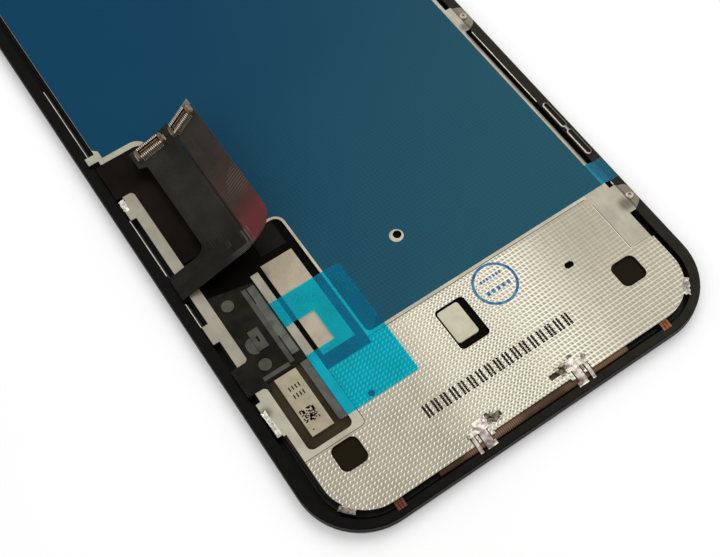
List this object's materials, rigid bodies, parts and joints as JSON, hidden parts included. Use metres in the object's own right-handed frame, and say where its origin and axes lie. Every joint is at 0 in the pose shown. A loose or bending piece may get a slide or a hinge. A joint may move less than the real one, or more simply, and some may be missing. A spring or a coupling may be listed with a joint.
{
  "type": "phone lcd screen assembly",
  "caption": "Flat phone display module, glass face down, with a pressed steel back, a blue protective film and a curled flexible circuit that ends in two board connectors.",
  "frame": {"origin": "centre of the cover glass outline, on the outer face of the glass, which is the lowest point", "axes": "+X across the module to the right as the steel back is seen, +Y from the chin end to the earpiece end, +Z out of the steel back"},
  "size_m": [0.073, 0.1482, 0.012],
  "materials": {
    "cover_glass": "polished",
    "mask_ink": "matte",
    "clear_adhesive": "clear",
    "polarizer": "satin",
    "panel_glass": "polished",
    "prism_film": "satin",
    "white_film": "matte",
    "clear_acrylic": "clear",
    "white_resin": "matte",
    "led_resin": "satin",
    "brown_film": "satin",
    "recess_film": "matte",
    "steel": "satin",
    "bright_steel": "bright",
    "black_resin": "matte",
    "blue_film": "glossy",
    "cyan_film": "glossy",
    "black_film": "satin",
    "shield": "matte",
    "label": "matte",
    "foam": "matte",
    "pad": "matte",
    "cream_pad": "matte",
    "board": "matte",
    "components": "matte",
    "flex": "satin",
    "connector_resin": "matte",
    "gold_contact": "bright",
    "copper": "bright",
    "chip": "polished"
  },
  "bodies": {
    "root": {"cover_glass": "cover_glass", "border_mask": "mask_ink", "optical_adhesive": "clear_adhesive", "front_polarizer": "polarizer", "color_filter_glass": "panel_glass", "tft_glass": "panel_glass", "rear_polarizer": "polarizer", "upper_prism_sheet": "prism_film", "lower_prism_sheet": "prism_film", "diffuser_sheet": "white_film", "light_guide": "clear_acrylic", "reflector_sheet": "white_film", "leds": "led_resin", "led_flex": "brown_film", "backlight_frame": "white_resin", "backlight_tray": "bright_steel", "insulation_film": "recess_film", "display_frame": "black_resin", "left_rail": "steel", "right_rail": "steel", "side_clip": "steel", "back_plate": "steel", "blue_film": "blue_film", "pull_film": "cyan_film", "edge_tape": "cyan_film", "bed_film": "black_film", "controller_shield": "shield", "controller_label": "label", "gasket_strip": "foam", "thermal_pad": "pad", "touch_tail": "brown_film", "window_pad": "cream_pad", "driver_board": "board", "board_components": "components", "driver_tape": "black_film", "main_flex": "flex", "stiffener_left": "bright_steel", "stiffener_right": "bright_steel", "connector_left": "connector_resin", "connector_right": "connector_resin", "contacts_left": "gold_contact", "contacts_right": "gold_contact", "driver_film": "brown_film", "driver_chip": "chip", "chin_clip_left": "bright_steel", "chin_clip_right": "bright_steel", "ground_pads": "copper"}
  },
  "joints": []
}
